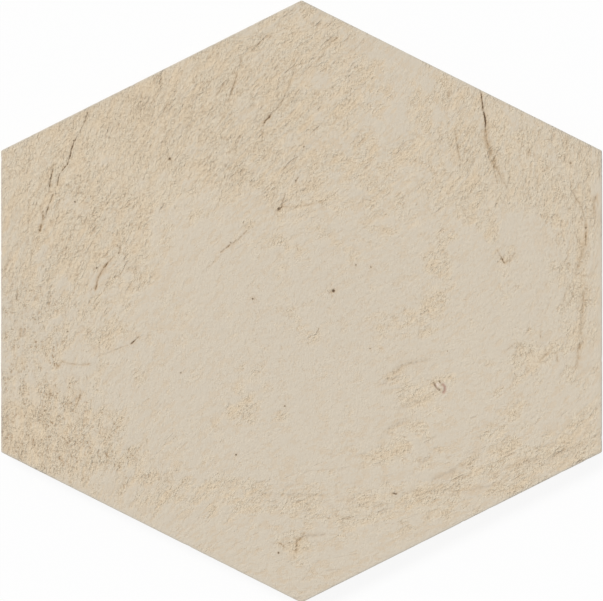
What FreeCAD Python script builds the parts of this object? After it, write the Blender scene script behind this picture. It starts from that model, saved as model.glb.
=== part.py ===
# A hexagonal floor tile with a hand-moulded face, dry-pressed and fired as one piece of ceramic.
# It lies face up: the origin is at the middle of the back, +Z is up, and +Y runs to one of the two points.
# Seen from above it has an upright side to the left and to the right, and a point at each end.
# Its face edge is softened by an arris, its sides are straight above a shoulder and draw in below it,
# and its back is keyed for the adhesive with a honeycomb of shallow tapered pockets inside a plain rim.
# All sizes are in millimetres.
import FreeCAD
import Part
import math
import os

# The outline.
across_sides = 240.0
point_to_point = 240.6
upright_side = 120.4
corner_radius = 1.0

# The edge, from the face down to the back.
thickness = 10.0
face_arris = 0.5
shoulder_height = 4.5
back_inset = 0.9
back_arris = 0.4

# The key on the back.
rim_width = 7.0
pocket_pitch = 20.0
rib_width = 3.4
pocket_depth = 0.8
pocket_taper = 0.4
smallest_pocket_share = 0.2
cell_sides = 6

node_name = "hexagon_tile"


def corner_points():
    """The six sharp corners of the outline, anticlockwise from the point at +Y."""
    side_x = across_sides / 2
    point_y = point_to_point / 2
    side_y = upright_side / 2
    west_half = [(0, point_y), (-side_x, side_y), (-side_x, -side_y)]
    east_half = [(-x, -y) for x, y in west_half]
    return [FreeCAD.Vector(x, y, 0) for x, y in west_half + east_half]


def outline_face(inset, level):
    """The outline as a flat face, moved in by inset on every side, with round corners, at height level."""
    sharp = Part.Face(Part.makePolygon(corner_points() + corner_points()[:1]))
    rounded = sharp.makeOffset2D(-(inset + corner_radius)).makeOffset2D(corner_radius)
    face = Part.Face(rounded.Wires[0])
    face.translate(FreeCAD.Vector(0, 0, level))
    return face


def edges_at(solid, level):
    """The edges of a solid that lie wholly at height level."""
    tolerance = 1e-6
    return [
        edge
        for edge in solid.Edges
        if abs(edge.BoundBox.ZMin - level) < tolerance and abs(edge.BoundBox.ZMax - level) < tolerance
    ]


def pressed_blank():
    """The tile without its key: drafted below the shoulder, straight above it, with both arrises."""
    at_back = outline_face(back_inset, 0)
    at_shoulder = outline_face(0, shoulder_height)
    drafted = Part.makeLoft([at_back.OuterWire, at_shoulder.OuterWire], True, True)
    straight = at_shoulder.extrude(FreeCAD.Vector(0, 0, thickness - shoulder_height))
    blank = drafted.fuse(straight).removeSplitter()
    blank = blank.makeFillet(face_arris, edges_at(blank, thickness))
    return blank.makeFillet(back_arris, edges_at(blank, 0))


def pocket_centres():
    """The middles of a honeycomb's cells, with the middle of a rib at the origin, out past the outline."""
    row_height = pocket_pitch * math.sin(2 * math.pi / cell_sides)
    rows = math.ceil(point_to_point / 2 / row_height)
    columns = math.ceil(across_sides / 2 / pocket_pitch) + 1
    for row in range(-rows, rows + 1):
        row_shift = pocket_pitch / 2 if row % 2 == 0 else 0
        for column in range(-columns, columns + 1):
            yield FreeCAD.Vector(column * pocket_pitch + row_shift, row * row_height, 0)


def cell_face(centre):
    """One whole honeycomb cell's mouth, which has its points at +Y and -Y as the tile has."""
    point_radius = (pocket_pitch - rib_width) / 2 / math.cos(math.pi / cell_sides)
    turn = FreeCAD.Vector(0, point_radius, 0)
    spin = FreeCAD.Rotation(FreeCAD.Vector(0, 0, 1), 360 / cell_sides)
    corners = []
    for _ in range(cell_sides):
        corners.append(centre + turn)
        turn = spin.multVec(turn)
    return Part.Face(Part.makePolygon(corners + corners[:1]))


def key_pockets():
    """Every pocket of the key, cut off at the rim, and left out where only a scrap of its cell is inside."""
    field = outline_face(rim_width, 0)
    whole_area = cell_face(FreeCAD.Vector(0, 0, 0)).Area
    pockets = []
    for centre in pocket_centres():
        inside = cell_face(centre).common(field)
        if inside.Area < smallest_pocket_share * whole_area:
            continue
        mouth = inside.Faces[0]
        floor = mouth.makeOffset2D(-pocket_taper)
        floor.translate(FreeCAD.Vector(0, 0, pocket_depth))
        pockets.append(Part.makeLoft([mouth.OuterWire, floor.Wires[0]], True, True))
    return pockets


def hexagon_tile():
    """The whole tile as one solid."""
    return pressed_blank().cut(Part.Compound(key_pockets()))


os.makedirs("parts", exist_ok=True)
tile = hexagon_tile()
tile.exportStep("parts/" + node_name + ".step")
print(node_name, "valid", tile.isValid(), "solids", len(tile.Solids), "faces", len(tile.Faces))
print("volume in cubic centimetres", round(tile.Volume / 1000, 2))
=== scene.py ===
# A hexagonal floor tile of cream clay, with the face that a hand and a trowel left on it.
# The whole tile is one closed mesh: a finely divided face with its relief carved into it, the arris and sides
# as rings round the face, and the keyed back with its honeycomb of pockets.
# Lengths are in millimetres until the mesh is made, which is in metres.
import math

import bpy
import numpy as np
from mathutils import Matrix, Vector
from mathutils.geometry import delaunay_2d_cdt


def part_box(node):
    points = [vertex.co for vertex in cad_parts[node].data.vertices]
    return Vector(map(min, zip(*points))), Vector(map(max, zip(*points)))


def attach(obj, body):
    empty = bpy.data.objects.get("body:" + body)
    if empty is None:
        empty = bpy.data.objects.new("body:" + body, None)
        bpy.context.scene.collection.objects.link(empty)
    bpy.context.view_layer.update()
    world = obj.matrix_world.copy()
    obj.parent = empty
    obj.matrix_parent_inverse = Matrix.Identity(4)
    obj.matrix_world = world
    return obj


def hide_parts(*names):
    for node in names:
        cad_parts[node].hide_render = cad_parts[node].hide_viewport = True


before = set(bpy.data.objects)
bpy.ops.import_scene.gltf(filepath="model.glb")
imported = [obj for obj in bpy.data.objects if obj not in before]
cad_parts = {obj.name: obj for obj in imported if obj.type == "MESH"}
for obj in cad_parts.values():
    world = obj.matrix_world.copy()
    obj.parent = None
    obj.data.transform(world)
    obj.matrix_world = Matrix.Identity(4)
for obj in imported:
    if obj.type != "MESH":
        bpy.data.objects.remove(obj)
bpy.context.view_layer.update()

MM = 0.001
NODE = "hexagon_tile"

# The outline and the edge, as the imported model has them.
LOW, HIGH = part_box(NODE)
HALF_ACROSS = (HIGH.x - LOW.x) / 2 / MM
TOP_LEVEL = HIGH.z / MM
POINT_TO_POINT = 240.6
UPRIGHT_SIDE = 120.4
CORNER_RADIUS = 1.0
FACE_ARRIS = 0.5
SHOULDER_LEVEL = 4.5
BACK_INSET = 0.9
BACK_ARRIS = 0.4

# The key on the back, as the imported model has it.
RIM_WIDTH = 7.0
POCKET_PITCH = 20.0
RIB_WIDTH = 3.4
POCKET_DEPTH = 0.8
POCKET_TAPER = 0.4
SMALLEST_POCKET_SHARE = 0.2

# How finely the face is divided: the edges' length in the rough, in the smooth, and in small features.
COARSE_CELLS = 7
ROUGH_PITCH = 1.21
SMOOTH_PITCH = 2.42
FINEST_PITCH = 0.16
PITCH_GROWTH = 0.60
PITCH_PER_HALF_WIDTH = 0.62
FINE_REACH = 0.35

# The relief. Bumps are as high as this where the clay is roughest.
BUMP_HEIGHT = 0.20
CLOSED_BUMP_SHARE = 0.25
SWELL_HEIGHT = 0.10
TORN_DEPTH = 0.07

# How far the painted shade along the face's rim reaches in from the outline.
RIM_SHADE_REACH = 0.75


# The grain: the way the clay was dragged, in degrees anticlockwise from +X, along three lines across the tile.
GRAIN_COLUMNS = (-120, -85, -45, 0, 35, 70, 120)
GRAIN_ROWS = {
    75: (82, 76, 68, 60, 20, 80, 92),
    10: (88, 70, 52, 32, 22, 30, 86),
    -65: (104, 90, 18, 16, 20, 20, 50),
}
DIRECTION_WEIGHT = 2.0

# The lower edge of the rough, torn clay that covers the upper part of the face, and how torn it is above that.
TORN_EDGE_X = (-120, -98, -78, -64, -56, -42, -24, 0, 20, 40, 60, 120)
TORN_EDGE_Y = (-16, -8, 4, 10, 30, 44, 36, 34, 36, 38, 46, 40)
TORN_EDGE_SOFTNESS = 22.0
TORN_PLATEAU_X = (-120, -10, 15, 60, 120)
TORN_PLATEAU = (0.9, 0.75, 0.38, 0.28, 0.32)

# Soft patches on the face: middle, half length, half width, turn in degrees, and how much more torn it is there.
TORN_PATCHES = (
    (-102, -50, 27, 21, 10, 2.1),
    (-108, -64, 12, 10, -30, 1.2),
    (-112, -26, 8, 14, 0, 0.4),
    (-64, -67, 36, 16, -25, 1.1),
    (-78, -76, 24, 7, -27, 0.6),
    (-76, -12, 12, 9, 20, 1.1),
    (-96, -12, 10, 11, 60, 0.6),
    (-26, -76, 16, 9, -10, 0.8),
    (-6, -80, 26, 10, 2, 1.0),
    (-1, -97, 10, 7, 60, 1.7),
    (24, -85, 20, 12, 10, 1.1),
    (58, -78, 20, 11, 22, 1.4),
    (88, -64, 22, 12, 28, 1.5),
    (108, -62, 10, 10, 0, 0.6),
    (84, -46, 20, 7, 74, 1.1),
    (98, -73, 34, 8, 27, 1.2),
    (90, -22, 20, 12, 40, 0.9),
    (111, -14, 30, 8, 86, 1.1),
    (113, -50, 12, 7, 60, 0.9),
    (48, -33, 15, 6, 6, 1.5),
    (36, -59, 18, 7, 24, 1.2),
    (46, -46, 9, 7, 50, 1.4),
    (-24, -43, 10, 9, 20, 1.4),
    (-20, -29, 8, 6, 60, 0.9),
    (-4, -10, 8, 5, 20, 1.0),
    (46, -6, 15, 7, 24, 1.5),
    (55, 14, 16, 7, 80, 1.4),
    (78, 22, 22, 8, 96, 1.1),
    (109, 22, 34, 10, 88, 1.2),
    (96, 48, 20, 18, 90, 0.7),
    (64, 44, 18, 14, 80, 0.7),
    (32, 11, 8, 4, -35, 1.0),
    (30, -22, 5, 5, 0, 0.8),
    (12, 3, 5, 5, 0, 0.8),
    (34, 72, 14, 11, 70, -0.9),
    (37, 97, 20, 7, -27, -0.9),
    (46, 90, 9, 5, 60, -0.6),
    (-54, 32, 8, 6, 50, -0.5),
    (-63, 35, 6, 5, 50, -0.3),
    (71, 14, 11, 7, 95, -1.6),
    (89, 31, 9, 6, 90, -0.8),
    (54, 49, 8, 6, 30, -0.6),
    (-2, -26, 13, 9, 0, -0.6),
    (62, -51, 9, 9, 0, -0.6),
)

# Where the torn clay is at its roughest or is calmer than elsewhere: middle, reach, and the change.
ROUGHER_PLACES = (
    (-80, 52, 40, 0.25),
    (-14, 80, 26, 0.15),
    (-100, -46, 26, 0.35),
    (74, 66, 22, 0.15),
    (30, 70, 40, -0.35),
    (-118, 30, 14, -0.3),
    (-114, -4, 26, -0.14),
    (-5, -84, 50, -0.30),
)

# Where the clay is crumbled rather than dragged: middle, half length, half width, turn, and how much.
CRUMBLED_PATCHES = (
    (-104, -46, 30, 26, 0, 1.2),
    (-70, -66, 30, 16, -24, 0.7),
    (-110, -14, 18, 30, 0, 1.0),
    (96, 10, 30, 40, 0, 0.6),
    (0, -12, 62, 40, 20, 0.8),
)

# Where the clay is warmer or cooler than elsewhere: middle, reach, and the change.
WARMER_PLACES = (
    (-66, 94, 26, 0.5),
    (-112, -58, 20, 0.5),
    (-60, 40, 40, 0.05),
    (106, 52, 30, -0.35),
    (106, -20, 34, -0.30),
    (-114, -4, 20, -0.35),
    (10, -76, 40, -0.25),
)

# Creases that the hand left: half width, depth, darkness of the painted shade in them and ochre stain, then the
# points from end to end, each with how open the crease is there.
CREASES = (
    (0.25, 0.38, 1.20, 0.7, ((71.6, 84.1, 0.6), (72.0, 80.4, 0.7), (72.6, 76.4, 1.1), (73.3, 73.1, 1.8),
                             (73.5, 71.1, 1.6), (73.4, 68.4, 0.4))),
    (0.20, 0.12, 0.25, 0.6, ((73.5, 68.4, 0.9), (74.0, 64.5, 1.0), (75.3, 58.9, 1.1), (76.9, 53.3, 1.0),
                             (78.1, 47.7, 0.6))),
    (0.20, 0.10, 0.24, 0.6, ((75.3, 61.0, 0.7), (77.3, 56.0, 1.0), (79.7, 49.3, 1.0), (82.1, 45.3, 0.6))),
    (0.50, 0.10, 0.06, 0.85, ((73.5, 71.1, 0.5), (73.6, 68.4, 1.1), (73.9, 65.1, 1.2), (74.7, 61.8, 1.1),
                             (76.0, 57.8, 0.9), (77.3, 54.5, 0.8), (78.9, 51.2, 0.7), (80.4, 47.5, 0.2))),
    (0.28, 0.12, 0.25, 0.5, ((61.3, 68.5, 0.7), (62.0, 63.5, 1.0), (63.3, 56.5, 0.6))),
    (0.22, 0.22, 0.75, 0.4, ((-85.3, 75.4, 1.0), (-86.1, 72.8, 0.8), (-88.5, 67.8, 0.5), (-90.8, 63.5, 0.8),
                             (-91.8, 60.8, 1.1), (-92.4, 57.8, 1.0), (-93.4, 54.8, 1.2), (-96.4, 51.2, 1.1),
                             (-97.1, 49.2, 1.2), (-97.4, 46.2, 0.9))),
    (0.22, 0.18, 0.52, 0.4, ((-99.2, 42.5, 1.0), (-101.1, 37.5, 1.2), (-102.4, 33.5, 0.7))),
    (0.22, 0.14, 0.40, 0.8, ((-103.2, 35.8, 0.8), (-103.2, 33.2, 1.0), (-104.4, 28.2, 1.2))),
    (0.24, 0.20, 0.55, 0.4, ((-98.8, 55.2, 0.5), (-99.8, 50.5, 1.0), (-100.4, 47.2, 1.0), (-100.8, 43.8, 0.6))),
    (0.24, 0.12, 0.30, 0.5, ((107.6, 44.5, 0.7), (109.8, 40.9, 0.8), (111.6, 38.1, 0.9), (112.6, 34.9, 0.6),
                             (113.6, 31.7, 0.6))),
    (0.30, 0.18, 0.40, 0.8, ((113.7, 30.6, 0.9), (113.6, 27.0, 1.0), (113.5, 23.8, 0.8))),
    (0.60, 0.14, 0.10, 0.6, ((113.5, 24.4, 0.7), (113.2, 22.5, 0.9), (111.2, 15.7, 0.9), (110.0, 11.7, 0.7))),
    (0.50, 0.12, 0.15, 0.6, ((117.4, 41.7, 0.9), (116.8, 38.5, 1.0), (116.6, 34.5, 0.9))),
    (0.28, 0.09, 0.14, 0.4, ((109.2, 13.3, 0.6), (110.4, 11.5, 0.9), (112.0, 10.1, 1.1), (114.8, 10.3, 0.8),
                             (116.4, 11.3, 0.6), (118.4, 15.7, 0.5))),
    (0.26, 0.18, 0.40, 1.0, ((-75.3, 17.4, 0.9), (-77.5, 15.3, 1.2), (-79.9, 11.7, 1.2), (-81.1, 9.3, 1.0),
                             (-81.7, 6.9, 1.3), (-82.3, 4.7, 0.9))),
    (0.26, 0.12, 0.35, 0.5, ((-74.3, 22.6, 0.8), (-72.3, 21.8, 0.7), (-72.5, 19.4, 1.0))),
    (0.24, 0.12, 0.35, 0.3, ((-101.4, 1.9, 0.9), (-100.6, -1.4, 1.0))),
    (0.26, 0.12, 0.35, 0.3, ((-113.3, 3.2, 0.9), (-113.8, 0.8, 1.0))),
    (0.35, 0.12, 0.20, 0.7, ((-111.7, -10.4, 0.9), (-112.4, -14.0, 0.9))),
    (0.26, 0.16, 0.36, 0.7, ((-21.9, 28.1, 0.5), (-25.0, 24.9, 1.0), (-28.5, 22.5, 1.0), (-32.2, 19.6, 0.8))),
    (0.22, 0.06, 0.16, 0.2, ((-32.7, 17.9, 0.8), (-35.7, 15.1, 0.9), (-39.1, 12.1, 0.8))),
    (0.24, 0.12, 0.28, 0.4, ((-2.9, 96.4, 0.5), (-3.3, 90.4, 0.8), (-5.3, 85.1, 0.9), (-7.3, 80.4, 1.0),
                             (-11.9, 75.1, 0.8))),
    (0.34, 0.22, 0.46, 0.6, ((-12.2, 74.6, 0.8), (-13.4, 73.0, 1.8), (-14.7, 71.5, 1.2))),
    (0.26, 0.08, 0.16, 0.5, ((-15.2, 71.0, 0.9), (-15.8, 62.7, 0.7))),
    (0.26, 0.16, 0.36, 0.5, ((-23.8, 97.6, 0.8), (-25.6, 90.6, 0.5), (-27.0, 86.4, 0.9), (-28.6, 81.6, 0.9),
                             (-29.4, 79.6, 0.5))),
    (0.26, 0.16, 0.40, 0.4, ((14.2, 105.2, 0.9), (12.6, 103.8, 1.0))),
    (0.26, 0.10, 0.22, 0.3, ((9.7, 101.1, 0.8), (8.7, 98.4, 0.8), (6.1, 95.7, 0.9))),
    (0.24, 0.16, 0.36, 0.3, ((-10.6, 42.9, 0.8), (-11.4, 40.9, 0.8))),
    (0.24, 0.16, 0.55, 0.4, ((-6.3, 43.2, 0.5), (-7.6, 39.5, 0.8), (-7.9, 37.7, 1.1), (-9.6, 36.3, 1.3))),
    (0.24, 0.08, 0.15, 0.5, ((-7.9, 37.7, 1.2), (-3.4, 37.7, 0.5), (0.1, 38.0, 0.8), (6.1, 39.2, 0.6),
                             (8.7, 40.3, 1.1))),
    (0.24, 0.14, 0.45, 0.5, ((-2.3, 47.5, 1.0), (-1.3, 49.5, 0.9), (-0.6, 50.5, 0.6))),
    (0.28, 0.22, 0.65, 0.4, ((-68.1, -17.0, 0.9), (-64.9, -14.2, 0.9))),
    (0.26, 0.08, 0.15, 0.2, ((-81.7, -22.2, 0.7), (-76.5, -20.2, 0.9), (-72.5, -18.6, 0.9), (-69.3, -17.6, 0.8))),
    (0.28, 0.12, 0.16, 0.6, ((-97.6, -26.6, 1.0), (-95.6, -24.2, 1.0), (-92.4, -25.0, 0.5), (-88.5, -25.4, 0.6),
                             (-84.5, -25.0, 0.8))),
    (0.28, 0.18, 0.40, 0.5, ((-87.8, -36.1, 0.7), (-89.1, -40.1, 1.1), (-90.1, -42.1, 0.8))),
    (0.26, 0.18, 0.45, 0.6, ((78.0, 20.6, 0.6), (79.8, 17.4, 1.0), (81.1, 15.1, 1.4))),
    (0.30, 0.10, 0.15, 0.5, ((81.1, 15.1, 1.0), (83.0, 16.5, 0.9), (86.0, 20.0, 0.5))),
    (0.50, 0.12, 0.12, 0.6, ((113.6, 5.8, 0.8), (112.2, -0.6, 1.0), (111.9, -4.6, 0.8), (111.6, -11.4, 0.7),
                             (111.2, -17.4, 1.2), (110.4, -22.2, 0.9), (110.0, -26.6, 0.7))),
    (0.26, 0.08, 0.16, 0.4, ((94.4, -24.6, 0.8), (98.0, -21.0, 1.1), (102.0, -20.6, 0.8), (102.2, -23.8, 1.3))),
    (0.26, 0.08, 0.15, 0.3, ((82.1, -19.4, 0.8), (86.1, -16.2, 1.1), (88.1, -18.2, 0.8))),
    (0.26, 0.10, 0.28, 0.4, ((95.7, -12.2, 0.8), (95.6, -14.2, 1.2))),
    (0.42, 0.18, 0.30, 0.7, ((0.9, -92.9, 1.1), (0.6, -94.0, 0.8), (-1.8, -95.5, 1.1), (-2.0, -97.2, 1.1),
                             (-2.2, -100.0, 0.6))),
    (0.50, 0.12, 0.16, 0.2, ((1.6, -93.9, 1.0), (9.4, -93.1, 0.9))),
    (0.26, 0.10, 0.26, 0.4, ((-11.4, -96.6, 0.9), (-8.8, -96.5, 1.0), (-7.4, -97.2, 1.2), (-7.2, -98.4, 0.9))),
    (0.24, 0.10, 0.25, 0.2, ((2.2, -108.8, 0.9), (0.6, -111.2, 0.9))),
    (0.36, 0.24, 1.00, 0.4, ((36.6, -76.7, 0.9), (37.9, -76.9, 1.0))),
    (0.42, 0.24, 0.66, 0.3, ((52.9, -32.6, 1.5), (53.6, -33.9, 1.4), (54.3, -35.0, 1.1), (55.1, -35.5, 0.9))),
    (0.30, 0.12, 0.35, 0.2, ((55.1, -31.9, 1.0), (55.7, -32.7, 1.1), (55.8, -33.5, 0.9))),
    (0.80, 0.16, 0.10, 0.2, ((32.5, -33.5, 0.6), (36.1, -29.8, 0.9), (40.4, -25.8, 1.1), (48.1, -23.8, 0.9),
                             (52.1, -23.4, 0.4))),
    (0.80, 0.12, 0.08, 0.2, ((38.9, -43.0, 0.7), (44.1, -41.0, 0.9), (51.3, -38.6, 0.6))),
    (0.80, 0.14, 0.08, 0.2, ((31.3, -55.4, 0.7), (36.9, -50.2, 1.0), (43.3, -46.2, 0.7))),
    (0.60, 0.12, 0.15, 0.3, ((52.1, -71.4, 0.8), (58.5, -68.6, 1.0), (70.5, -62.2, 0.6))),
    (0.60, 0.10, 0.10, 0.2, ((44.1, -75.5, 0.7), (64.1, -75.8, 0.9), (78.5, -73.4, 0.6))),
    (0.60, 0.10, 0.10, 0.2, ((82.5, -66.6, 0.7), (96.5, -62.6, 0.9), (112.5, -57.4, 0.7))),
    (0.60, 0.10, 0.10, 0.2, ((-20.3, -76.5, 0.6), (-2.3, -77.3, 0.8), (8.1, -77.3, 0.7))),
)

# Pinholes: middle, radius, depth and the darkness of the painted shade in them.
PINHOLES = (
    (12.8, 4.2, 0.62, 0.75, 1.0),
    (-9.0, 36.9, 0.60, 0.55, 0.8),
    (-19.4, 1.0, 0.42, 0.40, 0.9),
    (-26.0, -61.3, 0.42, 0.45, 0.75),
    (-6.6, -41.8, 0.38, 0.40, 0.7),
    (-48.1, -28.6, 0.34, 0.35, 0.6),
    (-52.5, 56.9, 0.50, 0.50, 0.8),
    (1.0, 61.7, 0.36, 0.35, 0.6),
    (-2.2, 48.1, 0.34, 0.30, 0.5),
    (21.8, 14.5, 0.40, 0.35, 0.5),
    (27.8, 13.7, 0.36, 0.30, 0.5),
    (-9.1, -100.4, 0.45, 0.40, 0.8),
    (-28.2, 23.3, 0.36, 0.30, 0.5),
    (-90.8, 64.1, 0.40, 0.35, 0.6),
    (-40.5, 68.5, 0.38, 0.30, 0.5),
    (-81.7, 13.3, 0.40, 0.35, 0.6),
    (-72.9, 19.3, 0.36, 0.30, 0.5),
    (113.6, 29.3, 0.45, 0.40, 0.6),
    (-90.4, 39.7, 0.38, 0.35, 0.6),
    (-93.3, -12.1, 0.42, 0.30, 0.45),
    (107.4, 55.2, 0.50, 0.35, 0.5),
    (27.4, -19.0, 0.32, 0.25, 0.4),
    (58.3, -19.8, 0.30, 0.22, 0.4),
)

# A reddish fleck of iron in the clay: its arcs, and the pale grain beside them.
FLECK_ARCS = (
    (0.30, 0.05, 0.25, ((53.2, -33.2, 1), (54.3, -35.0, 1))),
    (0.55, 0.18, 0.62, ((56.5, -33.2, 1), (57.3, -34.2, 1), (57.2, -35.6, 1), (56.7, -36.3, 1))),
)
PALE_GRAIN = (54.4, -33.3, 0.44, 0.15)


def smooth_step(low, high, value):
    """0 below low, 1 above high, with a smooth rise between."""
    share = np.clip((value - low) / (high - low), 0, 1)
    return share * share * (3 - 2 * share)


def noise(x, y, pitch, seed):
    """Smooth noise between about -1 and 1 whose lumps are about pitch apart."""
    table = np.random.default_rng(seed).permutation(256)
    column, across = np.divmod(x / pitch, 1)
    row, up = np.divmod(y / pitch, 1)
    column, row = column.astype(int), row.astype(int)

    def pull(step_x, step_y):
        turn = table[(table[(column + step_x) % 256] + row + step_y) % 256] * (2 * np.pi / 256)
        return np.cos(turn) * (across - step_x) + np.sin(turn) * (up - step_y)

    ease_x = across * across * across * (across * (across * 6 - 15) + 10)
    ease_y = up * up * up * (up * (up * 6 - 15) + 10)
    lower = pull(0, 0) + ease_x * (pull(1, 0) - pull(0, 0))
    upper = pull(0, 1) + ease_x * (pull(1, 1) - pull(0, 1))
    return (lower + ease_y * (upper - lower)) * 1.5


def grain_angle(x, y):
    """The grain's direction in radians, read between the three lines."""
    levels = sorted(GRAIN_ROWS)
    rows = [np.interp(x, GRAIN_COLUMNS, GRAIN_ROWS[level]) for level in levels]
    lower = rows[0] + (rows[1] - rows[0]) * np.clip((y - levels[0]) / (levels[1] - levels[0]), 0, 1)
    return np.radians(lower + (rows[2] - lower) * np.clip((y - levels[1]) / (levels[2] - levels[1]), 0, 1))


GRAIN_POWERS = [(i, j) for i in range(7) for j in range(7) if 1 <= i + j <= 6]


def fit_grain():
    """Two polynomials, one that rises evenly along the grain and one that rises across it, as nearly as they can."""
    x, y = (grid.ravel() for grid in np.meshgrid(np.linspace(-1, 1, 25), np.linspace(-1, 1, 25)))
    on_tile = np.abs(x) / 2 + np.abs(y) < 1.08
    x, y = x[on_tile], y[on_tile]
    angle = grain_angle(x * HALF_ACROSS, y * HALF_ACROSS)[:, None]
    slope_x = np.stack([i * x ** max(i - 1, 0) * y ** j for i, j in GRAIN_POWERS], axis=1)
    slope_y = np.stack([j * x ** i * y ** max(j - 1, 0) for i, j in GRAIN_POWERS], axis=1)
    rise_along = slope_x * np.cos(angle) + slope_y * np.sin(angle)
    rise_across = slope_y * np.cos(angle) - slope_x * np.sin(angle)
    wanted = np.repeat([HALF_ACROSS, 0], len(x))
    along = np.linalg.lstsq(np.concatenate([rise_along, 0.5 * rise_across]), wanted, rcond=None)[0]
    across = np.linalg.lstsq(np.concatenate([rise_across, DIRECTION_WEIGHT * rise_along]), wanted, rcond=None)[0]
    return along, across


GRAIN_ALONG, GRAIN_ACROSS = fit_grain()


def grain_place(x, y):
    """How far along the grain and across it a place lies, in millimetres."""
    terms = [(x / HALF_ACROSS) ** i * (y / HALF_ACROSS) ** j for i, j in GRAIN_POWERS]
    along = sum(weight * term for weight, term in zip(GRAIN_ALONG, terms))
    across = sum(weight * term for weight, term in zip(GRAIN_ACROSS, terms))
    return along, across


def sparse_grain(x, y):
    """1 where the grain's lines lie twice as far apart as elsewhere, and 0 where they lie as usual."""
    step = 0.5
    slope_x = grain_place(x + step, y)[1] - grain_place(x - step, y)[1]
    slope_y = grain_place(x, y + step)[1] - grain_place(x, y - step)[1]
    return 1 - smooth_step(0.62, 0.86, np.hypot(slope_x, slope_y) / (2 * step))


def patch(x, y, middle_x, middle_y, half_length, half_width, turn):
    """1 in the middle of an oval patch, falling softly to 0 past its rim."""
    cos, sin = math.cos(math.radians(turn)), math.sin(math.radians(turn))
    along = ((x - middle_x) * cos + (y - middle_y) * sin) / half_length
    across = ((y - middle_y) * cos - (x - middle_x) * sin) / half_width
    return np.exp(-1.2 * (along ** 2 + across ** 2))


def torn_share(x, y):
    """How torn the face is, from 0 where the trowel closed it to 1 where it is rough."""
    along, across = grain_place(x, y)
    edge = np.interp(x, TORN_EDGE_X, TORN_EDGE_Y)
    plateau = np.interp(x, TORN_PLATEAU_X, TORN_PLATEAU)
    level = np.clip((y - edge) / TORN_EDGE_SOFTNESS, -1, 1)
    level = np.where(level > 0, level * plateau, level)
    for *place, change in TORN_PATCHES:
        level = level + patch(x, y, *place) * change
    ragged = 0.65 * noise(x, y, 14, 11) + 0.75 * noise(along / 1.6, across, 6.5, 12)
    ragged = ragged + 0.55 * noise(along / 1.9, across, 2.7, 13)
    return smooth_step(-1.3, 1.5, level + ragged)


def crumbled_share(x, y):
    """How far the clay is crumbled, from 0 where it was dragged along the grain to 1."""
    return np.clip(sum(patch(x, y, *place) * share for *place, share in CRUMBLED_PATCHES), 0, 1)


def warmer(x, y):
    """How much warmer the clay is than elsewhere."""
    change = np.zeros_like(x)
    for middle_x, middle_y, reach, here in WARMER_PLACES:
        change = change + here * np.exp(-((x - middle_x) ** 2 + (y - middle_y) ** 2) / reach ** 2)
    return change


def roughest(x, y):
    """How strong the bumps are where the face is torn."""
    strength = np.full_like(x, 0.85)
    for middle_x, middle_y, reach, change in ROUGHER_PLACES:
        strength = strength + change * np.exp(-((x - middle_x) ** 2 + (y - middle_y) ** 2) / reach ** 2)
    return strength


def from_line(x, y, points):
    """The distance to a line of points, and how open the line is at its nearest place."""
    nearest = np.full_like(x, np.inf)
    openness = np.zeros_like(x)
    for (start_x, start_y, start_open), (end_x, end_y, end_open) in zip(points, points[1:]):
        step_x, step_y = end_x - start_x, end_y - start_y
        share = ((x - start_x) * step_x + (y - start_y) * step_y) / (step_x ** 2 + step_y ** 2)
        share = np.clip(share, 0, 1)
        distance = np.hypot(x - start_x - share * step_x, y - start_y - share * step_y)
        closer = distance < nearest
        nearest = np.where(closer, distance, nearest)
        openness = np.where(closer, start_open + share * (end_open - start_open), openness)
    return nearest, openness


def near(x, y, points, reach):
    """Which places lie in the box round a line of points, widened by reach."""
    low, high = np.min(points, axis=0)[:2] - reach, np.max(points, axis=0)[:2] + reach
    return (x > low[0]) & (x < high[0]) & (y > low[1]) & (y < high[1])


def wanted_pitch(places):
    """The edge length that the face needs at each place."""
    x, y = places.T
    pitch = SMOOTH_PITCH + (ROUGH_PITCH - SMOOTH_PITCH) * torn_share(x, y)
    lines = [(half_width, points) for half_width, *_, points in CREASES + FLECK_ARCS]
    lines += [(0, ((middle_x, middle_y, 1), (middle_x + 0.1, middle_y, 1))) for middle_x, middle_y, *_ in PINHOLES]
    reach = SMOOTH_PITCH / PITCH_GROWTH
    for half_width, points in lines:
        here = near(x, y, points, reach)
        distance, _ = from_line(x[here], y[here], points)
        finest = max(FINEST_PITCH, PITCH_PER_HALF_WIDTH * half_width)
        grown = finest + PITCH_GROWTH * np.maximum(distance - FINE_REACH, 0)
        pitch[here] = np.minimum(pitch[here], grown)
    return pitch


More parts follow.
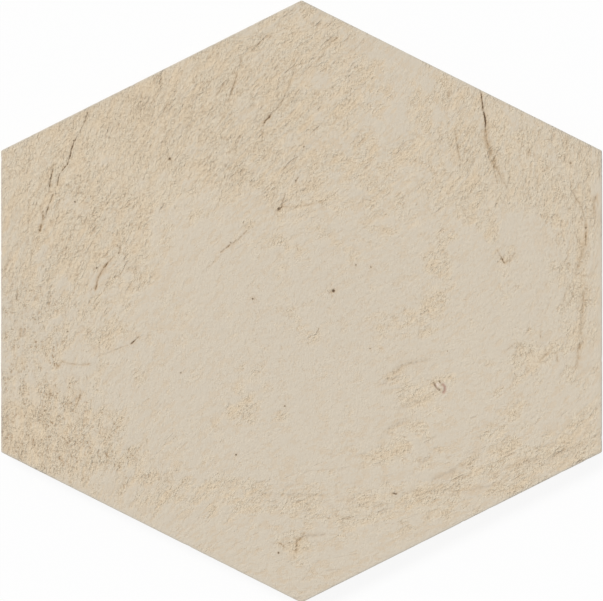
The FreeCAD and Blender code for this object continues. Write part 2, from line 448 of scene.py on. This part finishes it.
def face_relief(x, y):
    """The face's height under its highest point, and the masks that its colours follow."""
    along, across = grain_place(x, y)
    torn = torn_share(x, y)
    crumbled = crumbled_share(x, y)
    sparse = sparse_grain(x, y)
    coarse = noise(along / 4.0, across, 3.2, 21) * (1 - sparse) + noise(along / 4.0, 2 * across, 3.2, 26) * sparse
    fine = noise(along / 3.0, across, 2.0, 22) * (1 - sparse) + noise(along / 3.0, 2 * across, 2.0, 27) * sparse
    dragged_bumps = 0.60 * coarse + 0.60 * fine
    crumbled_bumps = 0.55 * noise(x, y, 4.6, 23) + 0.55 * noise(x, y, 2.6, 24)
    bumps = dragged_bumps + (crumbled_bumps - dragged_bumps) * crumbled
    height = SWELL_HEIGHT * (noise(x, y, 34, 31) + 0.4 * noise(x, y, 15, 32))
    share = CLOSED_BUMP_SHARE + (1 - CLOSED_BUMP_SHARE) * torn
    height = height + BUMP_HEIGHT * share * roughest(x, y) * bumps - TORN_DEPTH * torn
    wander_x = 0.12 * noise(x, y, 1.7, 41) + 0.11 * noise(x, y, 0.7, 44)
    wander_y = 0.12 * noise(x, y, 1.7, 42) + 0.11 * noise(x, y, 0.7, 45)
    recess_shade, stain, fleck = np.zeros_like(x), np.zeros_like(x), np.zeros_like(x)
    for half_width, depth, darkness, ochre, points in CREASES:
        here = near(x, y, points, 4)
        distance, openness = from_line(x[here] + wander_x[here], y[here] + wander_y[here], points)
        openness = openness * np.clip(1 + 0.9 * noise(x[here], y[here], 2.2, 43), 0.05, None)
        openness = openness * np.clip(1 + 0.7 * noise(x[here], y[here], 0.9, 46), 0.05, None)
        groove = np.exp(-(distance / half_width) ** 2) * openness
        height[here] -= depth * groove
        # Painted shade: the crease's bottom darkened as its shadow would darken it.
        recess_shade[here] = np.maximum(recess_shade[here], darkness * np.exp(-(distance / (0.8 * half_width)) ** 2) * openness)
        wide = np.exp(-(distance / (2.4 * half_width)) ** 2) * openness
        stain[here] = np.maximum(stain[here], ochre * wide)
    for middle_x, middle_y, radius, depth, darkness in PINHOLES:
        middle = ((middle_x, middle_y), (middle_x, middle_y))
        here = near(x, y, middle, 3)
        distance = np.hypot(x[here] - middle_x + wander_x[here], y[here] - middle_y + wander_y[here])
        hole = 1 - smooth_step(0.45 * radius, 1.25 * radius, distance)
        height[here] -= depth * hole
        # Painted shade in the pinhole's hollow.
        recess_shade[here] = np.maximum(recess_shade[here], darkness * hole)
        stain[here] = np.maximum(stain[here], 0.5 * darkness * np.exp(-(distance / (2.2 * radius)) ** 2))
    for half_width, depth, strength, points in FLECK_ARCS:
        here = near(x, y, points, 3)
        distance, _ = from_line(x[here], y[here], points)
        arc = np.exp(-(distance / half_width) ** 2)
        height[here] -= depth * arc
        fleck[here] = np.maximum(fleck[here], strength * arc)
    middle_x, middle_y, radius, rise = PALE_GRAIN
    grain = np.exp(-((x - middle_x) ** 2 + (0.7 * (y - middle_y)) ** 2) / radius ** 2)
    height += rise * grain
    masks = {"torn": torn, "recess_shade": np.clip(recess_shade, 0, 1), "stain": np.clip(stain, 0, 1), "fleck": fleck}
    masks["rough"] = roughest(x, y) / 0.80
    # Painted shade along the face's rim, where the arris catches the lamp.
    inside = np.min(SIDE_DISTANCES - np.column_stack([x, y]) @ SIDE_NORMALS.T, axis=1)
    rim = np.exp(-(inside / RIM_SHADE_REACH) ** 2)
    return height, masks | {"pale": grain, "crumbled": crumbled, "warm": warmer(x, y), "rim": rim, "sparse": sparse}


def outline_corners(inset):
    """The outline's six sharp corners, anticlockwise from the point at +Y, after moving every side in by inset."""
    distances = SIDE_DISTANCES - inset
    corners = []
    for side in range(6):
        walls = np.array([SIDE_NORMALS[side - 1], SIDE_NORMALS[side]])
        corners.append(np.linalg.solve(walls, [distances[side - 1], distances[side]]))
    return np.array(corners)


def outline_sides():
    """The outward direction of each side and its distance from the middle; side k runs from corner k to k + 1."""
    half_points = POINT_TO_POINT / 2
    half_side = UPRIGHT_SIDE / 2
    corners = np.array([
        (0, half_points), (-HALF_ACROSS, half_side), (-HALF_ACROSS, -half_side),
        (0, -half_points), (HALF_ACROSS, -half_side), (HALF_ACROSS, half_side),
    ])
    steps = np.roll(corners, -1, axis=0) - corners
    normals = np.stack([steps[:, 1], -steps[:, 0]], axis=1) / np.hypot(*steps.T)[:, None]
    return normals, (normals * corners).sum(axis=1)


SIDE_NORMALS, SIDE_DISTANCES = outline_sides()


def coarse_face():
    """The face inside its corner rounding, as six wedges of large triangles."""
    corners = outline_corners(CORNER_RADIUS)
    points, numbers, triangles = [], {}, []

    def number(point):
        key = tuple(np.round(point, 6))
        if key not in numbers:
            numbers[key] = len(points)
            points.append(point)
        return numbers[key]

    for side in range(6):
        first, second = corners[side] / COARSE_CELLS, corners[(side + 1) % 6] / COARSE_CELLS
        for i in range(COARSE_CELLS):
            for j in range(COARSE_CELLS - i):
                start = i * first + j * second
                triangles.append([number(start), number(start + first), number(start + second)])
                if i + j < COARSE_CELLS - 1:
                    far = start + first + second
                    triangles.append([number(start + first), number(far), number(start + second)])
    return np.array(points), np.array(triangles)


def refine(points, triangles):
    """Halves each edge that is longer than the pitch wanted at its middle, until none is."""
    while True:
        ends = np.sort(np.stack([triangles, np.roll(triangles, -1, axis=1)], axis=2), axis=2)
        keys, edge_of = np.unique(ends[..., 0] * len(points) + ends[..., 1], return_inverse=True)
        edge_of = edge_of.reshape(-1, 3)
        first, second = np.divmod(keys, len(points))
        middles = (points[first] + points[second]) / 2
        lengths = np.hypot(*(points[first] - points[second]).T)
        split = lengths > wanted_pitch(middles)
        if not split.any():
            return points, triangles
        longest = np.argmax(lengths[edge_of], axis=1)[:, None]
        longest_edge = np.take_along_axis(edge_of, longest, axis=1)[:, 0]
        while True:
            open_ones = split[edge_of].any(axis=1) & ~split[longest_edge]
            if not open_ones.any():
                break
            split[longest_edge[open_ones]] = True
        middle_number = np.full(len(keys), -1)
        middle_number[split] = len(points) + np.arange(split.sum())
        points = np.concatenate([points, middles[split]])
        order = (longest + np.arange(3)) % 3
        a, b, c = np.take_along_axis(triangles, order, axis=1).T
        ab, bc, ca = np.take_along_axis(middle_number[edge_of], order, axis=1).T
        has_ab, has_bc, has_ca = ab >= 0, bc >= 0, ca >= 0
        pieces = (
            (~has_ab, (a, b, c)),
            (has_ab & ~has_ca, (a, ab, c)),
            (has_ab & ~has_bc, (ab, b, c)),
            (has_ab & has_ca, (a, ab, ca)),
            (has_ab & has_bc, (ab, b, bc)),
            (has_ab & has_ca & ~has_bc, (ca, ab, c)),
            (has_ab & has_bc & ~has_ca, (ab, bc, c)),
            (has_bc & has_ca, (ab, bc, ca)),
            (has_bc & has_ca, (ca, bc, c)),
        )
        triangles = np.concatenate([np.stack(corners, axis=1)[kept] for kept, corners in pieces])


def face_rim(points):
    """The face's outer vertices in order, each with its side and its share of it; a corner comes once per arc step."""
    arc_steps = 5
    on_side = np.abs(points @ SIDE_NORMALS.T - (SIDE_DISTANCES - CORNER_RADIUS)) < 1e-6
    rim = np.flatnonzero(on_side.any(axis=1))
    rim = rim[np.argsort((np.degrees(np.arctan2(points[rim, 1], points[rim, 0])) - 90 + 1e-6) % 360)]
    corners = outline_corners(CORNER_RADIUS)
    slots = []
    for vertex in rim:
        sides = np.flatnonzero(on_side[vertex])
        if len(sides) == 2:
            corner = 0 if set(sides) == {0, 5} else max(sides)
            slots += [(vertex, "corner", corner, step / arc_steps) for step in range(arc_steps + 1)]
            continue
        side = sides[0]
        step = corners[(side + 1) % 6] - corners[side]
        slots.append((vertex, "side", side, (points[vertex] - corners[side]) @ step / (step @ step)))
    return slots


def ring_points(slots, inset, radius):
    """The slots' places on the outline moved in by inset and rounded to radius, and the way out at each."""
    centres = outline_corners(inset + radius)
    places, ways = [], []
    for _, kind, index, share in slots:
        if kind == "side":
            way = SIDE_NORMALS[index]
            place = centres[index] + share * (centres[(index + 1) % 6] - centres[index]) + radius * way
        else:
            way = SIDE_NORMALS[index - 1] * (1 - share) + SIDE_NORMALS[index] * share
            way = way / np.hypot(*way)
            place = centres[index] + radius * way
        places.append(place)
        ways.append(way)
    return np.array(places), np.array(ways)


def edge_profile():
    """The rings from the face's rim to the back: inset, corner radius and level of each."""
    rings = []
    arris_steps = 4
    for step in range(arris_steps + 1):
        turn = math.pi / 2 * step / arris_steps
        inset = FACE_ARRIS * (1 - math.sin(turn))
        rings.append((inset, CORNER_RADIUS - inset, TOP_LEVEL - FACE_ARRIS * (1 - math.cos(turn))))
    straight_steps = 3
    straight_height = TOP_LEVEL - FACE_ARRIS - SHOULDER_LEVEL
    for step in range(1, straight_steps + 1):
        rings.append((0, CORNER_RADIUS, TOP_LEVEL - FACE_ARRIS - straight_height * step / straight_steps))
    rings.append((BACK_INSET / 2, CORNER_RADIUS, SHOULDER_LEVEL / 2))
    back_steps = 3
    for step in range(back_steps + 1):
        turn = math.pi / 2 * step / back_steps
        inset = BACK_INSET + BACK_ARRIS * (1 - math.cos(turn))
        rings.append((inset, CORNER_RADIUS, BACK_ARRIS * (1 - math.sin(turn))))
    return rings


def clipped(polygon, normal, distance):
    """A convex polygon's part on the near side of a line."""
    kept = []
    for start, end in zip(polygon, np.roll(polygon, -1, axis=0)):
        start_over, end_over = normal @ start - distance, normal @ end - distance
        if start_over <= 0:
            kept.append(start)
        if (start_over < 0 < end_over) or (end_over < 0 < start_over):
            kept.append(start + (end - start) * start_over / (start_over - end_over))
    return np.array(kept)


def area_of(polygon):
    """A polygon's area, positive when it runs anticlockwise."""
    after = np.roll(polygon, -1, axis=0)
    return (polygon[:, 0] * after[:, 1] - polygon[:, 1] * after[:, 0]).sum() / 2


def shrunk(polygon, inset):
    """A convex anticlockwise polygon with every side moved in by inset."""
    steps = np.roll(polygon, -1, axis=0) - polygon
    normals = np.stack([steps[:, 1], -steps[:, 0]], axis=1) / np.hypot(*steps.T)[:, None]
    distances = (normals * polygon).sum(axis=1) - inset
    return np.array([
        np.linalg.solve([normals[k - 1], normals[k]], [distances[k - 1], distances[k]])
        for k in range(len(polygon))
    ])


def pocket_mouths():
    """The honeycomb's cells inside the rim, as the key on the back has them."""
    row_height = POCKET_PITCH * math.sin(math.pi / 3)
    cell_radius = (POCKET_PITCH - RIB_WIDTH) / 2 / math.cos(math.pi / 6)
    turns = np.radians(90 + 60 * np.arange(6))
    cell = cell_radius * np.stack([np.cos(turns), np.sin(turns)], axis=1)
    rows = math.ceil(POINT_TO_POINT / 2 / row_height)
    columns = math.ceil(HALF_ACROSS / POCKET_PITCH) + 1
    mouths = []
    for row in range(-rows, rows + 1):
        row_shift = POCKET_PITCH / 2 if row % 2 == 0 else 0
        for column in range(-columns, columns + 1):
            mouth = cell + (column * POCKET_PITCH + row_shift, row * row_height)
            for normal, distance in zip(SIDE_NORMALS, SIDE_DISTANCES):
                mouth = clipped(mouth, normal, distance - RIM_WIDTH) if len(mouth) else mouth
            if len(mouth) > 2 and area_of(mouth) > SMALLEST_POCKET_SHARE * area_of(cell):
                mouths.append(mouth)
    return mouths


def keyed_back(rim):
    """The back inside its arris: new points with their levels, and triangles that also use the rim's places."""
    points = [(x, y, 0.0) for x, y in rim]
    loops = [list(range(len(rim)))]
    triangles = []
    pocket_of = [-1] * len(rim)
    for pocket, mouth in enumerate(pocket_mouths()):
        start = len(points)
        count = len(mouth)
        points += [(x, y, 0.0) for x, y in mouth]
        pocket_of += [pocket] * count
        loops.append(list(range(start, start + count)))
    flat_count = len(points)
    edges = [(loop[k - 1], loop[k]) for loop in loops for k in range(len(loop))]
    flat = [Vector((x, y)) for x, y, _ in points]
    _, _, cells, sources, *_ = delaunay_2d_cdt(flat, edges, [], 0, 1e-7)
    for cell in cells:
        corners = [sources[vertex][0] for vertex in cell]
        pockets = {pocket_of[corner] for corner in corners}
        doubled = area_of(np.array([points[corner][:2] for corner in corners]))
        if (len(pockets) == 1 and pockets != {-1}) or abs(doubled) < 1e-6:
            continue
        triangles.append(corners[::-1])
    for loop in loops[1:]:
        mouth = np.array([points[corner][:2] for corner in loop])
        floor = [len(points) + k for k in range(len(loop))]
        points += [(x, y, POCKET_DEPTH) for x, y in shrunk(mouth, POCKET_TAPER)]
        for k in range(len(loop)):
            triangles.append([loop[k - 1], floor[k - 1], floor[k]])
            triangles.append([loop[k - 1], floor[k], loop[k]])
        for k in range(1, len(loop) - 1):
            triangles.append([floor[0], floor[k + 1], floor[k]])
    return np.array(points[len(rim):]), np.array(triangles), flat_count


def tile_mesh():
    """The whole tile as one closed mesh, with its masks as attributes."""
    flat, face_triangles = refine(*coarse_face())
    slots = face_rim(flat)
    height, masks = face_relief(*flat.T)
    rim_numbers = np.array([slot[0] for slot in slots])
    points = [np.column_stack([flat, np.full(len(flat), TOP_LEVEL) + height])]
    triangles = [face_triangles]
    values = {name: [mask] for name, mask in masks.items()}
    count = len(flat)
    upper = rim_numbers
    for inset, radius, level in edge_profile():
        places, ways = ring_points(slots, inset, radius)
        sunk, ring_masks = face_relief(*places.T)
        follow = smooth_step(TOP_LEVEL - 2.0, TOP_LEVEL, level)
        along = np.arctan2(places[:, 1], places[:, 0]) * HALF_ACROSS
        push = 0.05 * noise(along, np.full(len(along), level), 6, 51)
        push = push + 0.03 * noise(along, np.full(len(along), level), 2.1, 52)
        side_share = 1 if 0 < level < TOP_LEVEL - FACE_ARRIS / 2 else 0
        nibble = 0.22 * smooth_step(0.35, 0.8, noise(along, np.zeros(len(along)), 3.1, 53))
        nibble = nibble * (1 if TOP_LEVEL - FACE_ARRIS <= level < TOP_LEVEL else 0)
        places = places + ways * (np.minimum(push * side_share, 0) - nibble)[:, None]
        levels = level + follow * sunk if level > 0 else np.zeros(len(places))
        points.append(np.column_stack([places, levels]))
        for name, mask in ring_masks.items():
            share = follow if name != "torn" else 1
            values[name].append(mask * share if name != "torn" else 0.35 + (mask - 0.35) * follow)
        lower = count + np.arange(len(slots))
        count += len(slots)
        upper_next, lower_next = np.roll(upper, -1), np.roll(lower, -1)
        quads = ((upper, lower, lower_next), (upper, lower_next, upper_next))
        for corners in quads:
            strip = np.stack(corners, axis=1)
            triangles.append(strip[(strip[:, 0] != strip[:, 1]) & (strip[:, 0] != strip[:, 2])])
        upper = lower
    rim_places, _ = ring_points(slots, BACK_INSET + BACK_ARRIS, CORNER_RADIUS)
    back_points, back_triangles, _ = keyed_back(rim_places)
    renumbered = np.concatenate([upper, count + np.arange(len(back_points))])
    points.append(back_points)
    triangles.append(renumbered[back_triangles])
    for name in values:
        values[name].append(np.full(len(back_points), 0.35 if name == "torn" else 0.0))
    points = np.concatenate(points)
    points[:, 2] -= max(points[:, 2].max() - TOP_LEVEL, 0) * (points[:, 2] > SHOULDER_LEVEL)
    triangles = np.concatenate(triangles)
    mesh = bpy.data.meshes.new("clay_tile")
    mesh.from_pydata((points * MM).tolist(), [], triangles.tolist())
    mesh.polygons.foreach_set("use_smooth", np.ones(len(triangles), bool))
    mesh.set_sharp_from_angle(angle=math.radians(50))
    for name, parts in values.items():
        attribute = mesh.attributes.new(name, "FLOAT", "POINT")
        attribute.data.foreach_set("value", np.concatenate(parts).astype(np.float32))
    along, across = grain_place(*points[:, :2].T)
    grain = mesh.attributes.new("grain", "FLOAT_VECTOR", "POINT")
    places = np.column_stack([along, across, points[:, 2]]) * MM
    grain.data.foreach_set("vector", places.astype(np.float32).ravel())
    print("tile mesh", len(points), "points", len(triangles), "triangles")
    return mesh


class Nodes:
    """A material's nodes, wired by short calls that take sockets, numbers or colours."""

    def __init__(self, tree):
        self.tree = tree
        self.tree.nodes.clear()

    def add(self, kind, inputs, **settings):
        node = self.tree.nodes.new(kind)
        for name, value in settings.items():
            setattr(node, name, value)
        for name, value in inputs.items():
            if isinstance(value, bpy.types.NodeSocket):
                self.tree.links.new(value, node.inputs[name])
            else:
                node.inputs[name].default_value = value
        return node

    def attribute(self, name):
        return self.add("ShaderNodeAttribute", {}, attribute_name=name)

    def number(self, name):
        return self.attribute(name).outputs["Fac"]

    def noise(self, place, pitch, stretch=1.0, detail=2.0, roughness=0.5, shift=0.0):
        scale = (1 / (pitch * MM * stretch), 1 / (pitch * MM), 1 / (pitch * MM))
        inputs = {0: place, 1: scale, 2: (shift, shift, shift)}
        scaled = self.add("ShaderNodeVectorMath", inputs, operation="MULTIPLY_ADD").outputs[0]
        inputs = {"Vector": scaled, "Scale": 1.0, "Detail": detail, "Roughness": roughness}
        return self.add("ShaderNodeTexNoise", inputs, noise_dimensions="3D").outputs[0]

    def rise(self, value, low, high, bottom=0.0, top=1.0):
        inputs = {"Value": value, "From Min": low, "From Max": high, "To Min": bottom, "To Max": top}
        return self.add("ShaderNodeMapRange", inputs, interpolation_type="SMOOTHSTEP").outputs["Result"]

    def mix(self, share, first, second):
        node = self.add("ShaderNodeMix", {0: share, 2: first, 3: second}, data_type="FLOAT")
        return node.outputs[0]

    def sum(self, kind, first, second):
        return self.add("ShaderNodeMath", {0: first, 1: second}, operation=kind).outputs[0]

    def blend(self, share, first, second, kind="MIX"):
        node = self.add("ShaderNodeMix", {}, data_type="RGBA", blend_type=kind)
        for socket, value in ((node.inputs[0], share), (node.inputs[6], first), (node.inputs[7], second)):
            if isinstance(value, bpy.types.NodeSocket):
                self.tree.links.new(value, socket)
            else:
                socket.default_value = value if isinstance(value, float) else (*value, 1.0)
        return node.outputs[2]


# The clay's colours, as linear light.
CLOSED_CLAY = (0.608, 0.539, 0.440)
TORN_CLAY = (0.760, 0.653, 0.497)
WARM_CLAY = (0.746, 0.616, 0.448)
# Painted shade in the crumbs' hollows, warmed as bounced light warms a crevice's shadow.
HOLLOW_SHADE = (0.560, 0.420, 0.278)
# Painted shade on the walls of the flakes' steps, darker and more orange.
WARM_EDGE_SHADE = (0.600, 0.430, 0.255)
# Painted shade in the grit's pits and in the strokes' grooves.
PIT_AND_GROOVE_SHADE = (0.380, 0.235, 0.125)
OCHRE = (0.500, 0.335, 0.175)
# Painted shade, near black, in the creases and pinholes.
DEEP_SHADE = (0.130, 0.070, 0.030)
IRON = (0.290, 0.090, 0.060)
PALE = (0.820, 0.700, 0.610)
# Painted shade along the face's rim: a greyer tone that dims the light the arris catches.
RIM_SHADE = (0.600, 0.545, 0.455)


def clay_material():
    """Matt fired clay: cool and closed where troweled, warm and grainy where torn, ochre-stained in its creases, with
    painted shade in its creases, pinholes, hollows, pits, grooves, flake steps and rim.
    """
    material = bpy.data.materials.new("fired_clay")
    material.use_nodes = True
    nodes = Nodes(material.node_tree)
    place = nodes.attribute("grain").outputs["Vector"]
    torn = nodes.number("torn")
    sparse = nodes.number("sparse")
    halved_place = nodes.add("ShaderNodeVectorMath", {0: place, 1: (1, 2, 1)}, operation="MULTIPLY").outputs[0]

    def combed(*pattern, shift=0.0):
        """Noise drawn out along the grain, as narrow where the grain's lines lie wider apart."""
        usual = nodes.noise(place, *pattern, shift=shift)
        return nodes.mix(sparse, usual, nodes.noise(halved_place, *pattern, shift=shift))

    crumbled = nodes.number("crumbled")
    plain_place = nodes.add("ShaderNodeTexCoord", {}).outputs["Object"]
    turned = nodes.add("ShaderNodeMapping", {"Vector": plain_place, "Rotation": (0, 0, math.pi / 2)}).outputs[0]
    islands = nodes.noise(place, 5.0, 1.4, 6.0, 0.72)
    islands = nodes.mix(crumbled, islands, nodes.noise(plain_place, 5.4, 1.2, 6.0, 0.72))
    islands = nodes.rise(islands, 0.20, 0.80, -1.0, 1.0)
    islands = nodes.sum("MULTIPLY", islands, nodes.mix(crumbled, 0.50, 0.62))
    open_clay = nodes.rise(nodes.sum("ADD", torn, islands), 0.0, 1.10)
    strength = nodes.rise(open_clay, 0.0, 0.80, 0.34, 1.0)
    least, most = nodes.mix(crumbled, 0.70, 0.42), nodes.mix(crumbled, 1.36, 1.15)
    calm = combed(5.0, 1.8, 3.0, 0.6, shift=41.0)
    calm = nodes.mix(crumbled, calm, nodes.noise(turned, 5.0, 1.2, 3.0, 0.6, shift=41.0))
    calm = nodes.rise(calm, 0.32, 0.66, least, most)
    strength = nodes.sum("MULTIPLY", nodes.sum("MULTIPLY", strength, calm), nodes.mix(0.4, 1.0, nodes.number("rough")))
    warmth = nodes.rise(combed(3.4, 3.2, 4.0, 0.6, shift=17.0), nodes.mix(crumbled, 0.42, 0.38), 0.60)
    warmth = nodes.sum("ADD", nodes.sum("MULTIPLY", warmth, open_clay), nodes.number("warm"))

    dragged = combed(1.10, 1.7, 3.0, 0.72)
    grit = nodes.noise(turned, 0.95, 1.35, 2.5, 0.7, shift=23.0)
    clumps = nodes.rise(nodes.noise(turned, 3.4, 1.3, 2.0, shift=31.0), 0.42, 0.58, 0.25, 1.0)
    crumbs = nodes.mix(crumbled, dragged, grit)
    # Painted shade where the crumbs sink.
    hollow_shade = nodes.sum("MULTIPLY", nodes.rise(crumbs, 0.54, 0.34), nodes.mix(crumbled, 0.52, 0.55))
    hollow_shade = nodes.sum("MULTIPLY", hollow_shade, strength)
    # Painted shade where the grit sinks in the crumbled clay.
    pit_shade = nodes.sum("MULTIPLY", nodes.rise(grit, 0.44, 0.30, 0.0, 0.80), crumbled)
    pit_shade = nodes.sum("MULTIPLY", nodes.sum("MULTIPLY", pit_shade, clumps), strength)

    flakes = nodes.rise(combed(1.9, 2.0, 4.0, 0.6, shift=3.3), 0.47, 0.44)
    flakes = nodes.sum("MINIMUM", nodes.sum("MULTIPLY", flakes, strength), 1.0)
    # Painted shade on the flakes' step walls.
    flake_edge_shade = nodes.sum("MULTIPLY", flakes, nodes.sum("SUBTRACT", 1.0, flakes))
    flake_edge_shade = nodes.sum("MULTIPLY", flake_edge_shade, nodes.mix(crumbled, 1.0, 0.4))

    breaks = nodes.rise(nodes.noise(place, 2.6, 1.8, 1.5, shift=11.1), 0.44, 0.60)
    strokes = nodes.sum("MULTIPLY", nodes.rise(combed(1.4, 5.0, 2.0, shift=7.7), 0.42, 0.30), breaks)
    strokes = nodes.sum("MULTIPLY", strokes, nodes.mix(crumbled, strength, 0.1))

    colour = nodes.blend(nodes.sum("MULTIPLY", strength, 0.72), CLOSED_CLAY, TORN_CLAY)
    colour = nodes.blend(warmth, colour, WARM_CLAY)
    # Painted shade in the crumbs' hollows.
    colour = nodes.blend(hollow_shade, colour, HOLLOW_SHADE)
    # Painted shade on the flakes' step walls.
    colour = nodes.blend(flake_edge_shade, colour, WARM_EDGE_SHADE)
    # Painted shade in the grit's pits.
    colour = nodes.blend(pit_shade, colour, PIT_AND_GROOVE_SHADE)
    # Painted shade in the strokes' grooves.
    colour = nodes.blend(nodes.sum("MULTIPLY", strokes, 0.26), colour, PIT_AND_GROOVE_SHADE)
    colour = nodes.blend(nodes.sum("MULTIPLY", nodes.number("stain"), 0.55), colour, OCHRE)
    # Painted shade in the creases and pinholes.
    colour = nodes.blend(nodes.sum("MULTIPLY", nodes.number("recess_shade"), 0.9), colour, DEEP_SHADE)
    colour = nodes.blend(nodes.number("fleck"), colour, IRON)
    colour = nodes.blend(nodes.number("pale"), colour, PALE)
    # Painted shade along the face's rim.
    colour = nodes.blend(nodes.sum("MULTIPLY", nodes.number("rim"), 0.8), colour, RIM_SHADE)

    crumb_height = nodes.mix(crumbled, 0.46 * MM, 0.26 * MM)
    height = nodes.sum("MULTIPLY", nodes.sum("SUBTRACT", crumbs, 0.5), crumb_height)
    grit_height = nodes.mix(crumbled, 0.66 * MM, 0.78 * MM)
    grit_rise = nodes.sum("MULTIPLY", nodes.sum("SUBTRACT", grit, 0.5), grit_height)
    height = nodes.sum("ADD", height, grit_rise)
    height = nodes.sum("MULTIPLY", height, strength)
    height = nodes.sum("SUBTRACT", height, nodes.sum("MULTIPLY", flakes, 0.055 * MM))
    height = nodes.sum("SUBTRACT", height, nodes.sum("MULTIPLY", strokes, 0.16 * MM))
    height = nodes.sum("SUBTRACT", height, nodes.sum("MULTIPLY", open_clay, 0.08 * MM))
    bump = nodes.add("ShaderNodeBump", {"Strength": 1.0, "Distance": 1.35, "Filter Width": 0.3, "Height": height})

    shader = nodes.add(
        "ShaderNodeBsdfPrincipled",
        {
            "Base Color": colour,
            "Roughness": nodes.rise(torn, 0.0, 1.0, 0.72, 0.90),
            "Normal": bump.outputs["Normal"],
        },
    )
    nodes.add("ShaderNodeOutputMaterial", {"Surface": shader.outputs[0]})
    return material


def white_seen_directly(nodes, lit_shader, lit_share):
    """A shader that camera, mirror and glass rays see as mostly plain white, with a share of the lit one."""
    path = nodes.add("ShaderNodeLightPath", {})
    seen = nodes.sum("MAXIMUM", path.outputs["Is Camera Ray"], path.outputs["Is Glossy Ray"])
    seen = nodes.sum("MAXIMUM", seen, path.outputs["Is Transmission Ray"])
    white = nodes.add("ShaderNodeEmission", {"Color": (1, 1, 1, 1), "Strength": 1.0})
    share = nodes.sum("MULTIPLY", seen, 1 - lit_share)
    return nodes.add("ShaderNodeMixShader", {0: share, 1: lit_shader, 2: white.outputs[0]}).outputs[0]


def pale_floor():
    """A white floor, three metres wide, which keeps a faint shadow of the tile."""
    half = 1.5
    mesh = bpy.data.meshes.new("floor")
    corners = [(-half, -half, 0), (half, -half, 0), (half, half, 0), (-half, half, 0)]
    mesh.from_pydata(corners, [], [(0, 1, 2, 3)])
    floor = bpy.data.objects.new("floor", mesh)
    bpy.context.collection.objects.link(floor)
    floor.location.z = -0.1 * MM
    material = bpy.data.materials.new("floor")
    material.use_nodes = True
    nodes = Nodes(material.node_tree)
    lit = nodes.add("ShaderNodeBsdfDiffuse", {"Color": (0.9, 0.9, 0.9, 1)}).outputs[0]
    shown = white_seen_directly(nodes, lit, FLOOR_LIT_SHARE)
    nodes.add("ShaderNodeOutputMaterial", {"Surface": shown})
    mesh.materials.append(material)


def soft_light():
    """An even pale world and a broad lamp, weakly from the upper left of the photograph."""
    world = bpy.data.worlds.new("studio")
    bpy.context.scene.world = world
    world.use_nodes = True
    nodes = Nodes(world.node_tree)
    room = nodes.add("ShaderNodeBackground", {"Color": (1, 1, 1, 1), "Strength": WORLD_LEVEL}).outputs[0]
    nodes.add("ShaderNodeOutputWorld", {"Surface": white_seen_directly(nodes, room, 0.0)})
    lamp = bpy.data.lights.new("lamp", "SUN")
    lamp.angle = math.radians(LAMP_WIDTH)
    lamp.energy = (1 - WORLD_LEVEL) * math.pi / math.sin(math.radians(LAMP_HEIGHT))
    holder = bpy.data.objects.new("lamp", lamp)
    bpy.context.collection.objects.link(holder)
    turn, height = math.radians(LAMP_TURN), math.radians(LAMP_HEIGHT)
    towards = Vector((math.cos(turn) * math.cos(height), math.sin(turn) * math.cos(height), math.sin(height)))
    holder.rotation_euler = towards.to_track_quat("Z", "Y").to_euler()


# The light: the world's share of it, and the lamp's direction and width in degrees.
WORLD_LEVEL = 0.55
LAMP_TURN = 135.0
LAMP_HEIGHT = 52.0
LAMP_WIDTH = 20.0
FLOOR_LIT_SHARE = 0.12

# The photograph's frame: its width and the tile's in pixels, and how far the tile's middle is under the frame's.
FRAME_WIDTH_PX = 603
TILE_WIDTH_PX = 601
TILE_DROP_PX = 0.9
LENS = 200.0
SENSOR = 36.0


def overhead_camera():
    """A long lens straight over the tile, framed as in the photograph."""
    pixel = 2 * HALF_ACROSS * MM / TILE_WIDTH_PX
    distance = FRAME_WIDTH_PX * pixel * LENS / SENSOR
    camera = bpy.data.cameras.new("camera")
    camera.lens = LENS
    camera.sensor_width = SENSOR
    holder = bpy.data.objects.new("camera", camera)
    bpy.context.collection.objects.link(holder)
    holder.location = (0, TILE_DROP_PX * pixel, (TOP_LEVEL - FACE_ARRIS) * MM + distance)
    bpy.context.scene.camera = holder


def dressed_tile():
    """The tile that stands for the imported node."""
    mesh = tile_mesh()
    mesh.materials.append(clay_material())
    tile = bpy.data.objects.new("clay_tile", mesh)
    bpy.context.collection.objects.link(tile)
    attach(tile, "root")
    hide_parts(NODE)


dressed_tile()
pale_floor()
soft_light()
overhead_camera()
bpy.context.scene.view_settings.view_transform = "Standard"
